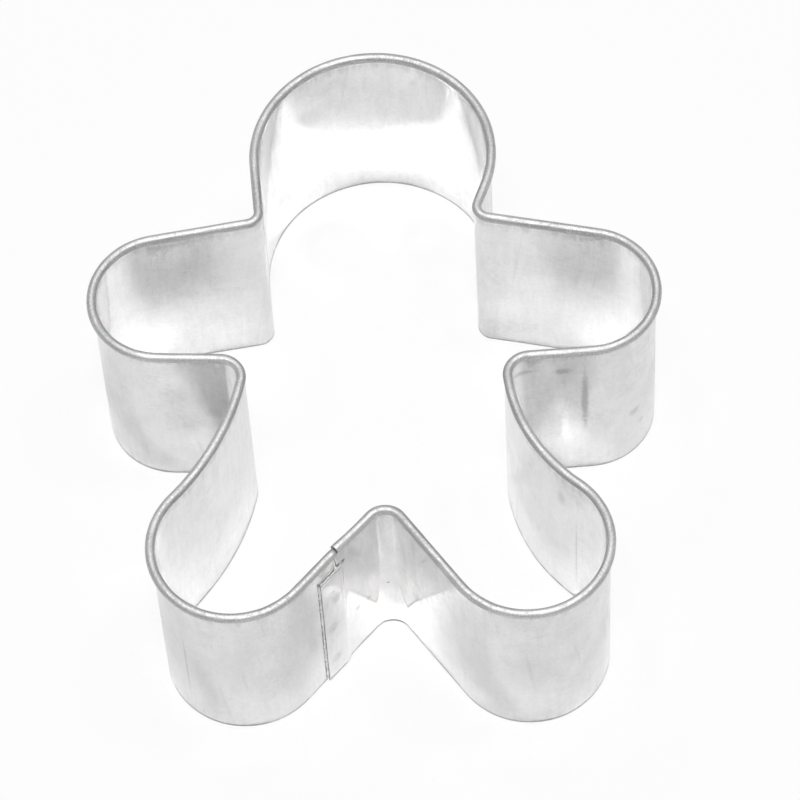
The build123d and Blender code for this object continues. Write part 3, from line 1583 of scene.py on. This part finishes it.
@dataclass(frozen=True)
class MetalFinish(ABC):
    """A bare metal face.

    Args:
        name: Name of the material.
        clean: Colour of the clean metal.
        dull: Colour of the metal at its dullest.
        roughness: Least and greatest roughness.
        depth: Depth of the relief, in metres.
    """

    name: str
    clean: Triple
    dull: Triple
    roughness: tuple[float, float]
    depth: float

    def place(self, wiring: Wiring) -> Socket:
        """The place along and up the strip, in millimetres."""
        unrolled = wiring.place("ShaderNodeUVMap", uv_map=STRIP_UV).outputs[0]
        return wiring.vector("MULTIPLY", unrolled, (UV_SPAN, UV_SPAN, UV_SPAN))

    @abstractmethod
    def surface(self, wiring: Wiring, place: Socket) -> MetalSurface:
        """Draws what changes over the face.

        Args:
            wiring: The material's wiring.
            place: The place on the surface, in millimetres.

        Returns:
            The face's colour, roughness and relief.
        """

    def material(self) -> bpy.types.Material:
        """Builds the material.

        Returns:
            The material.
        """
        material = bpy.data.materials.new(self.name)
        material.use_nodes = True
        wiring = Wiring(material.node_tree)
        surface = self.surface(wiring, self.place(wiring))
        bump = wiring.place("ShaderNodeBump", {"Height": surface.height, "Distance": self.depth})
        feeds = {
            "Base Color": surface.colour, "Metallic": 1.0,
            "Roughness": surface.roughness, "Normal": bump.outputs[0],
        }
        wiring.feed(material.node_tree.nodes["Principled BSDF"], feeds)
        return material


@dataclass(frozen=True)
class WallFinish(MetalFinish):
    """The tinned wall with its grain, its mottle, its marks of use and some painted shade and
    highlights.

    Args:
        name: Name of the material.
        clean: Colour of the clean metal.
        dull: Colour of the metal at its dullest.
        roughness: Least and greatest roughness.
        depth: Depth of the rolled grain, in metres.
        shade_range: The mottle at which the metal is smoothest and roughest.
        grain: How strongly the rolled grain shows in the colour.
        mottle: How strongly the tin's clouds show.
        smudged: Colour under a smudge.
        smudges: How strongly the smudges show.
        smudge_roughness: What a smudge adds to the roughness.
        scratched: Colour of a scratch.
        scratches: How strongly the scratches show.
        scratch_depth: Depth of a scratch, as a share of the grain's.
        bottom_line: Colour of the uneven darker line along the cutting edge.
        bottom_line_strength: How strongly that line shows.
        bottom_line_reach: Its reach up from the cutting edge.
        bottom_line_roughness: What it adds to the roughness.
        under_roll_shade_colour: Colour of the painted shade along the wall just under the roll.
        under_roll_shade: How strongly the painted shade shows.
        under_roll_shade_level: Its height.
        under_roll_shade_reach: Its reach up and down from there.
        stains_and_painted_light: Dull marks, and spots of painted shade and highlight, at known
            places.
    """

    clean: Triple = (0.85, 0.85, 0.85)
    dull: Triple = (0.65, 0.65, 0.65)
    roughness: tuple[float, float] = (0.06, 0.17)
    depth: float = 5.0e-7
    shade_range: tuple[float, float] = (0.2, 0.8)
    grain: float = 0.5
    mottle: float = 1.24
    smudged: Triple = (0.52, 0.52, 0.52)
    smudges: float = 0.3
    smudge_roughness: float = 0.08
    scratched: Triple = (0.95, 0.95, 0.95)
    scratches: float = 0.4
    scratch_depth: float = 0.6
    bottom_line: Triple = (0.5, 0.5, 0.5)
    bottom_line_strength: float = 0.16
    bottom_line_reach: float = 0.25
    bottom_line_roughness: float = 0.15
    under_roll_shade_colour: Triple = (0.34, 0.34, 0.34)
    under_roll_shade: float = 0.36
    under_roll_shade_level: float = 23.9
    under_roll_shade_reach: float = 0.75
    stains_and_painted_light: tuple[StainOrLightSpot, ...] = ()

    def surface(self, wiring: Wiring, place: Socket) -> MetalSurface:
        """Draws the wall.

        Args:
            wiring: The material's wiring.
            place: The place on the surface, in millimetres.

        Returns:
            The wall's colour, roughness and relief.
        """
        grain = RolledGrain().on(wiring, place, depth=self.grain)
        mottle = TinMottle().on(wiring, place)["Shade"]
        smudge = HandlingSmudges().on(wiring, place)["Mask"]
        scratch = HairScratches().on(wiring, place)["Mask"]
        # A darker, rougher uneven line along the cutting edge.
        bottom_line = EdgeLine().on(wiring, place, level=0.0, reach=self.bottom_line_reach)["Mask"]
        # Painted shade: an uneven darker line along the wall just under the roll.
        under_roll_shade_mask = EdgeLine().on(wiring, place, level=self.under_roll_shade_level, reach=self.under_roll_shade_reach)["Mask"]
        clouded = wiring.times(wiring.times(mottle, grain["Shade"]), self.mottle)
        colour = wiring.tint(clouded, self.clean, self.dull)
        for mask, strength, shade in (
            (smudge, self.smudges, self.smudged),
            (scratch, self.scratches, self.scratched),
            (bottom_line, self.bottom_line_strength, self.bottom_line),
            (under_roll_shade_mask, self.under_roll_shade, self.under_roll_shade_colour),
        ):
            colour = wiring.tint(wiring.times(mask, strength), colour, shade)
        rough = wiring.between(mottle, *self.shade_range, *self.roughness)
        rough = wiring.plus(rough, wiring.times(smudge, self.smudge_roughness))
        rough = wiring.plus(rough, wiring.times(bottom_line, self.bottom_line_roughness))
        height = wiring.minus(grain["Height"], wiring.times(scratch, self.scratch_depth))
        return MetalSurface(self.overlaid(wiring, place, colour), rough, height)

    def overlaid(self, wiring: Wiring, place: Socket, colour: Socket) -> Socket:
        """Lays the dull marks and the spots of painted shade and highlight at known places over the
        wall.

        Args:
            wiring: The material's wiring.
            place: The place on the surface, in millimetres.
            colour: The wall's colour without them.

        Returns:
            The colour with them.
        """
        wander = RaggedRim().on(wiring, place)["Wander"]
        for stain_or_light_spot in self.stains_and_painted_light:
            mask = SoftSpot().on(
                wiring, place, run=stain_or_light_spot.run, up=stain_or_light_spot.up, reach=stain_or_light_spot.reach, tall=stain_or_light_spot.tall,
                wander=wander,
            )["Mask"]
            colour = wiring.tint(wiring.times(mask, stain_or_light_spot.share), colour, (stain_or_light_spot.grey,) * 3)
        return colour


@dataclass(frozen=True)
class RollFinish(MetalFinish):
    """The rolled rim, crazed by its tight bend and worn by hands.

    Args:
        name: Name of the material.
        clean: Colour of the clean metal.
        dull: Colour of the metal at its dullest.
        roughness: Least and greatest roughness.
        depth: Depth of the specks and drawn lines, in metres.
        mottle: How strongly the tin's clouds show.
        lines: How strongly the drawn lines show.
        specks: How strongly the specks show.
        bright: Colour of the stretches that hands have worn.
        wear: How strongly those stretches show.
        smudged: Colour under a smudge.
        smudges: How strongly the smudges show.
    """

    clean: Triple = (0.8, 0.8, 0.8)
    dull: Triple = (0.46, 0.46, 0.46)
    roughness: tuple[float, float] = (0.48, 0.7)
    depth: float = 3.5e-5
    mottle: float = 0.4
    lines: float = 0.55
    specks: float = 0.6
    bright: Triple = (0.8, 0.8, 0.8)
    wear: float = 0.35
    smudged: Triple = (0.52, 0.52, 0.52)
    smudges: float = 0.15

    def surface(self, wiring: Wiring, place: Socket) -> MetalSurface:
        """Draws the roll.

        Args:
            wiring: The material's wiring.
            place: The place on the surface, in millimetres.

        Returns:
            The roll's colour, roughness and relief.
        """
        speckle = BeadSpeckle().on(wiring, place)
        mottle = TinMottle().on(wiring, place, spots=0.5, clouds=0.3, veins=0.2)["Shade"]
        smudge = HandlingSmudges().on(wiring, place)["Mask"]
        colour = wiring.tint(wiring.times(mottle, self.mottle), self.clean, self.dull)
        for mask, strength, shade in (
            (speckle["Lines"], self.lines, self.dull),
            (speckle["Shade"], self.specks, self.dull),
            (speckle["Worn"], self.wear, self.bright),
            (smudge, self.smudges, self.smudged),
        ):
            colour = wiring.tint(wiring.times(mask, strength), colour, shade)
        rough = wiring.between(speckle["Shade"], 0.0, 1.0, *self.roughness)
        return MetalSurface(colour, rough, speckle["Height"])


@dataclass(frozen=True)
class RawEdgeFinish(MetalFinish):
    """Bare steel where shears have cut or torn the sheet.

    Args:
        name: Name of the material.
        clean: Colour of the clean metal.
        dull: Colour of the metal at its dullest.
        roughness: Least and greatest roughness.
        depth: Depth of the tears, in metres.
        torn: The tears.
        speck_height: Height of the specks, as a share of the tears' depth.
    """

    depth: float = 1.5e-5
    torn: Grain = Grain((7.0, 7.0, 1.6), 4.0, 0.35, 0.65)
    speck_height: float = 0.3

    def place(self, wiring: Wiring) -> Socket:
        """The place in the cutter, in millimetres."""
        inside = wiring.place("ShaderNodeTexCoord").outputs["Object"]
        return wiring.vector("MULTIPLY", inside, (1.0 / MM, 1.0 / MM, 1.0 / MM))

    def surface(self, wiring: Wiring, place: Socket) -> MetalSurface:
        """Draws a sheared edge.

        Args:
            wiring: The material's wiring.
            place: The place on the surface, in millimetres.

        Returns:
            The edge's colour, roughness and relief.
        """
        torn = self.torn.noise(wiring, place)
        specks = BeadSpeckle().on(wiring, place)["Shade"]
        colour = wiring.tint(self.torn.eased(wiring, torn), self.clean, self.dull)
        rough = wiring.between(specks, 0.0, 1.0, *self.roughness)
        height = wiring.plus(torn, wiring.times(specks, self.speck_height))
        return MetalSurface(colour, rough, height)


@dataclass(frozen=True)
class WeldFinish(MetalFinish):
    """A pressed weld, duller than the sheet round it."""

    depth: float = 4.0e-6

    def surface(self, wiring: Wiring, place: Socket) -> MetalSurface:
        """Draws a weld's face.

        Args:
            wiring: The material's wiring.
            place: The place on the surface, in millimetres.

        Returns:
            The weld's colour, roughness and relief.
        """
        mottle = TinMottle().on(wiring, place, spots=0.7, clouds=0.2, veins=0.1)["Shade"]
        speckle = BeadSpeckle().on(wiring, place)
        rough = wiring.between(speckle["Shade"], 0.0, 1.0, *self.roughness)
        return MetalSurface(wiring.tint(mottle, self.clean, self.dull), rough, speckle["Height"])


@dataclass(frozen=True)
class CeilingLamp:
    """A round soft lamp high over the cutter.

    Args:
        name: Name of the lamp.
        bearing: Its direction in plan, in degrees clockwise from the figure's head.
        elevation: Its direction up from the floor, in degrees.
        share: Its share of the floor's brightness, where 1 is white.
        spread: How wide it looks from the cutter, in degrees.
        distance: Its distance from the cutter, in metres.
    """

    name: str
    bearing: float
    elevation: float
    share: float
    spread: float = 5.0
    distance: float = 1.2

    def build(self, floor_level: float) -> bpy.types.Object:
        """Hangs the lamp.

        Args:
            floor_level: How much of the light the floor gives back.

        Returns:
            The lamp.
        """
        turn, rise = math.radians(self.bearing), math.radians(self.elevation)
        level = Vector((math.sin(turn), math.cos(turn), 0.0)) * math.cos(rise)
        towards = level + Vector((0.0, 0.0, math.sin(rise)))
        data = bpy.data.lights.new(self.name, "AREA")
        data.shape = "DISK"
        data.size = 2.0 * self.distance * math.tan(math.radians(self.spread) / 2.0)
        data.energy = self.share * math.pi**2 * self.distance**2 / (floor_level * math.sin(rise))
        lamp = bpy.data.objects.new(self.name, data)
        lamp.location = towards * self.distance
        lamp.rotation_euler = towards.to_track_quat("Z", "Y").to_euler()
        bpy.context.scene.collection.objects.link(lamp)
        return lamp


def seen_directly(wiring: Wiring, camera_share: float, gloss_share: float) -> Socket:
    """A share that holds only for what the camera or a gloss sees.

    Args:
        wiring: Wiring of the material or world that it is for.
        camera_share: The share for the camera.
        gloss_share: The share for glossy and transmitted rays.

    Returns:
        The socket that gives the share.
    """
    path = wiring.place("ShaderNodeLightPath").outputs
    gloss = wiring.maths("MAXIMUM", path["Is Glossy Ray"], path["Is Transmission Ray"])
    camera = wiring.times(path["Is Camera Ray"], camera_share)
    return wiring.maths("MAXIMUM", camera, wiring.times(gloss, gloss_share))


@dataclass
class Studio:
    """The pale floor, the soft light and the camera.

    Args:
        floor_size: Length of each side of the floor, in metres.
        floor_gap: How far it lies below the cutting edge, in millimetres.
        floor_colour: Its colour.
        floor_camera_glow: How far towards white the camera sees it, as a share.
        room: Brightness of the room around, where 1 is white.
        room_in_gloss: How far towards white the metal mirrors the room, as a share.
        lamps: The lamps.
        yaw: The camera's bearing, clockwise from the figure's head, in radians.
        depression: How steeply it looks down, in radians.
        roll: How far it leans to its right, in radians.
        distance: Its distance, in millimetres.
        aim_height: Height of the point that it would look at, in millimetres.
        aim_right: How far the picture's middle lies to the right of that point, in millimetres.
        aim_down: How far it lies below it, in millimetres.
        lens: Focal length, in millimetres.
        sensor_width: Width of the film, in millimetres.
        nearest: Nearest thing that it sees, in metres.
        gloss_blur: How much the renderer softens light that is mirrored after a bounce.
        gloss_bounces: How often light may go from one mirroring wall to the next.
    """

    floor_size: float = 3.0
    floor_gap: float = 0.01
    floor_colour: Triple = (0.9, 0.9, 0.9)
    floor_camera_glow: float = 0.88
    room: float = 0.13
    room_in_gloss: float = 0.36
    lamps: tuple[CeilingLamp, ...] = (
        CeilingLamp("front_lamp", 170.0, 75.0, 0.18),
        CeilingLamp("front_left_lamp", 190.0, 70.0, 0.12),
        CeilingLamp("right_lamp", 75.0, 80.0, 0.1),
        CeilingLamp("far_right_lamp", 80.0, 70.0, 0.08),
        CeilingLamp("left_lamp", 280.0, 80.0, 0.09),
        CeilingLamp("near_left_lamp", 230.0, 75.0, 0.06),
        CeilingLamp("back_lamp", 10.0, 75.0, 0.07),
        CeilingLamp("far_back_lamp", 330.0, 60.0, 0.04),
    )
    yaw: float = math.radians(-2.77)
    depression: float = math.radians(58.53)
    roll: float = math.radians(3.88)
    distance: float = 528.2
    aim_height: float = 12.7
    aim_right: float = 2.44
    aim_down: float = 1.59
    lens: float = 212.6
    sensor_width: float = 36.0
    nearest: float = 0.01
    gloss_blur: float = 0.02
    gloss_bounces: int = 8

    def camera(self) -> bpy.types.Object:
        """Sets the camera at the photograph's angle.

        Returns:
            The camera.
        """
        ahead = Vector((math.sin(self.yaw), math.cos(self.yaw), 0.0))
        forward = ahead * math.cos(self.depression) - Vector((0.0, 0.0, math.sin(self.depression)))
        level = Vector((math.cos(self.yaw), -math.sin(self.yaw), 0.0))
        below = forward.cross(level)
        right = level * math.cos(self.roll) + below * math.sin(self.roll)
        down = below * math.cos(self.roll) - level * math.sin(self.roll)
        place = Vector((0.0, 0.0, self.aim_height)) - forward * self.distance
        place += right * self.aim_right + down * self.aim_down
        data = bpy.data.cameras.new("photo_camera")
        data.lens = self.lens
        data.sensor_width = self.sensor_width
        data.sensor_fit = "HORIZONTAL"
        data.clip_start = self.nearest
        camera = bpy.data.objects.new("photo_camera", data)
        axes = Matrix((right, -down, -forward)).transposed()
        camera.matrix_world = Matrix.Translation(place * MM) @ axes.to_4x4()
        bpy.context.scene.collection.objects.link(camera)
        bpy.context.scene.camera = camera
        return camera

    def floor(self) -> bpy.types.Object:
        """Lays the pale floor.

        Returns:
            The floor.
        """
        data = bpy.data.meshes.new("floor")
        half = self.floor_size / 2.0
        low = -self.floor_gap * MM
        corners = [(-half, -half, low), (half, -half, low), (half, half, low), (-half, half, low)]
        data.from_pydata(corners, [], [(0, 1, 2, 3)])
        floor = bpy.data.objects.new("floor", data)
        bpy.context.scene.collection.objects.link(floor)
        material = bpy.data.materials.new("floor_paper")
        material.use_nodes = True
        wiring = Wiring(material.node_tree)
        material.node_tree.nodes.clear()
        paper = wiring.place("ShaderNodeBsdfDiffuse", {"Color": (*self.floor_colour, 1.0)})
        glow = wiring.place("ShaderNodeEmission", {"Strength": 1.0})
        share = seen_directly(wiring, self.floor_camera_glow, 0.0)
        feeds = {0: share, 1: paper.outputs[0], 2: glow.outputs[0]}
        mix = wiring.place("ShaderNodeMixShader", feeds)
        wiring.place("ShaderNodeOutputMaterial", {0: mix.outputs[0]})
        data.materials.append(material)
        return floor

    def world(self) -> None:
        """Sets the dim room around, which the camera sees as white."""
        world = bpy.data.worlds.new("soft_studio")
        world.use_nodes = True
        bpy.context.scene.world = world
        wiring = Wiring(world.node_tree)
        world.node_tree.nodes.clear()
        room = wiring.place("ShaderNodeBackground", {"Strength": self.room})
        white = wiring.place("ShaderNodeBackground", {"Strength": 1.0})
        share = seen_directly(wiring, 1.0, self.room_in_gloss)
        feeds = {0: share, 1: room.outputs[0], 2: white.outputs[0]}
        mix = wiring.place("ShaderNodeMixShader", feeds)
        wiring.place("ShaderNodeOutputWorld", {0: mix.outputs[0]})

    def build(self) -> None:
        """Makes the whole studio."""
        self.camera()
        self.floor()
        self.world()
        for lamp in self.lamps:
            lamp.build(self.floor_colour[1])
        scene = bpy.context.scene
        scene.view_settings.view_transform = "Standard"
        scene.cycles.blur_glossy = self.gloss_blur
        scene.cycles.glossy_bounces = self.gloss_bounces
        scene.cycles.sample_clamp_indirect = 0.0


@dataclass
class CookieCutter:
    """The whole cutter: the band and the welds through its lap.

    Args:
        weld_shares: Node of each weld, and its height as a share of the tab's.
        knocks: The knocks and creases in the wall.
        nicks: The nicks in the roll.
        stains_and_painted_light: Dull marks, and spots of painted shade and highlight, at known
            places on the wall.
    """

    weld_shares: tuple[tuple[str, float], ...] = (
        ("spot_weld_lower", 0.17), ("spot_weld_middle", 0.495), ("spot_weld_upper", 0.82),
    )
    knocks: tuple[Dent, ...] = (
        Dent(76.6, 14.0, 0.45, 8.0, 0.05),
        Dent(74.7, 7.0, 0.8, 5.0, -0.04),
        Dent(82.5, 8.7, 1.3, 1.6, -0.035),
        Dent(49.7, 11.0, 0.5, 8.0, 0.04),
        Dent(3.6, 8.6, 1.6, 0.45, -0.03),
        Dent(211.0, 13.3, 1.1, 1.6, 0.03),
        Dent(12.1, 9.6, 1.6, 1.1, 0.02),
        Dent(247.3, 10.5, 0.16, 6.0, -0.012, 0.03),
        Dent(7.4, 10.0, 0.4, 9.0, 0.03),
    )
    nicks: tuple[Dent, ...] = (
        Dent(163.0, 25.0, 0.5, 1.0, 0.06),
        Dent(41.0, 24.8, 0.4, 0.9, 0.03),
        Dent(119.0, 24.7, 0.6, 1.1, 0.025),
        Dent(226.0, 24.8, 0.5, 1.0, 0.03),
    )
    stains_and_painted_light: tuple[StainOrLightSpot, ...] = (
        StainOrLightSpot(-0.81, 16.1, 0.9, 0.7, 0.36, 1.6),
        # Painted shade: these two darken the ends of the curved shade line across the crotch flank.
        StainOrLightSpot(2.66, 8.5, 0.5, 0.6, 0.34),
        StainOrLightSpot(4.49, 8.3, 0.45, 0.5, 0.4),
        StainOrLightSpot(7.32, 8.9, 0.24, 0.95, 0.1, 0.7),
        StainOrLightSpot(262.9, 10.5, 0.9, 0.3, 0.5, 3.0),
        StainOrLightSpot(211.0, 13.3, 1.3, 0.4, 0.48),
        StainOrLightSpot(12.1, 9.6, 1.3, 0.35, 0.5),
        # Painted shade: a dark line down the crease at run 76.6.
        StainOrLightSpot(76.6, 15.0, 0.5, 0.7, 0.36, 15.0),
        # Painted highlight: a bright streak down the soft dent at run 74.7.
        StainOrLightSpot(74.4, 9.0, 0.55, 0.6, 1.0, 7.0),
        StainOrLightSpot(82.6, 8.5, 0.9, 0.55, 0.42),
        StainOrLightSpot(83.7, 5.4, 0.7, 0.4, 0.45),
        StainOrLightSpot(69.6, 21.3, 1.9, 0.55, 0.4, 0.3),
        StainOrLightSpot(74.2, 20.9, 1.3, 0.6, 0.38, 0.55),
        StainOrLightSpot(52.2, 19.8, 0.7, 0.45, 0.45, 2.6),
        # Painted shade: a thin dark line down the crease at run 49.7.
        StainOrLightSpot(50.1, 11.0, 0.16, 0.6, 0.45, 50.0),
        StainOrLightSpot(247.3, 10.0, 0.16, 0.6, 0.42, 50.0),
        StainOrLightSpot(216.0, 20.6, 1.5, 0.5, 0.45, 0.4),
        # Painted shade: a broad darker patch on the left foot near the seam.
        StainOrLightSpot(261.0, 12.0, 4.2, 0.4, 0.48, 3.2),
    )

    def build(self) -> list[bpy.types.Object]:
        """Makes and dresses every piece.

        Returns:
            The band and the welds.
        """
        band = TinplateBand(roll_dents=self.nicks)
        welds = [
            SpotWeld(name, share * band.section.tab_height, band)
            for name, share in self.weld_shares
        ]
        band.dents = self.knocks + tuple(dent for weld in welds for dent in weld.dents())
        heat = tuple(weld.heat_mark for weld in welds)
        wall = WallFinish("tin_wall", stains_and_painted_light=self.stains_and_painted_light + heat).material()
        roll = RollFinish("tin_roll").material()
        sheared = RawEdgeFinish(
            "sheared_steel", clean=(0.42, 0.41, 0.4), dull=(0.16, 0.16, 0.15), roughness=(0.4, 0.6)
        ).material()
        burr = RawEdgeFinish(
            "torn_burr", clean=(0.92, 0.92, 0.92), dull=(0.62, 0.62, 0.61), roughness=(0.3, 0.55)
        ).material()
        pieces = [band.build()]
        band.dress(
            pieces[0], {Face.WALL: wall, Face.ROLL: roll, Face.SHEARED: sheared, Face.BURR: burr}
        )
        grey = WeldFinish(
            "weld_grey", clean=(0.76, 0.76, 0.75), dull=(0.54, 0.54, 0.53), roughness=(0.14, 0.26)
        ).material()
        for weld in welds:
            nugget = weld.build()
            weld.dress(nugget, grey)
            pieces.append(nugget)
        return pieces


def main() -> None:
    """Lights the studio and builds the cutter."""
    logging.basicConfig(level=logging.INFO, format="%(name)s: %(message)s")
    Studio().build()
    for piece in CookieCutter().build():
        LOG.info("%s: %d faces", piece.name, len(piece.data.polygons))


if __name__ == "__main__":
    main()
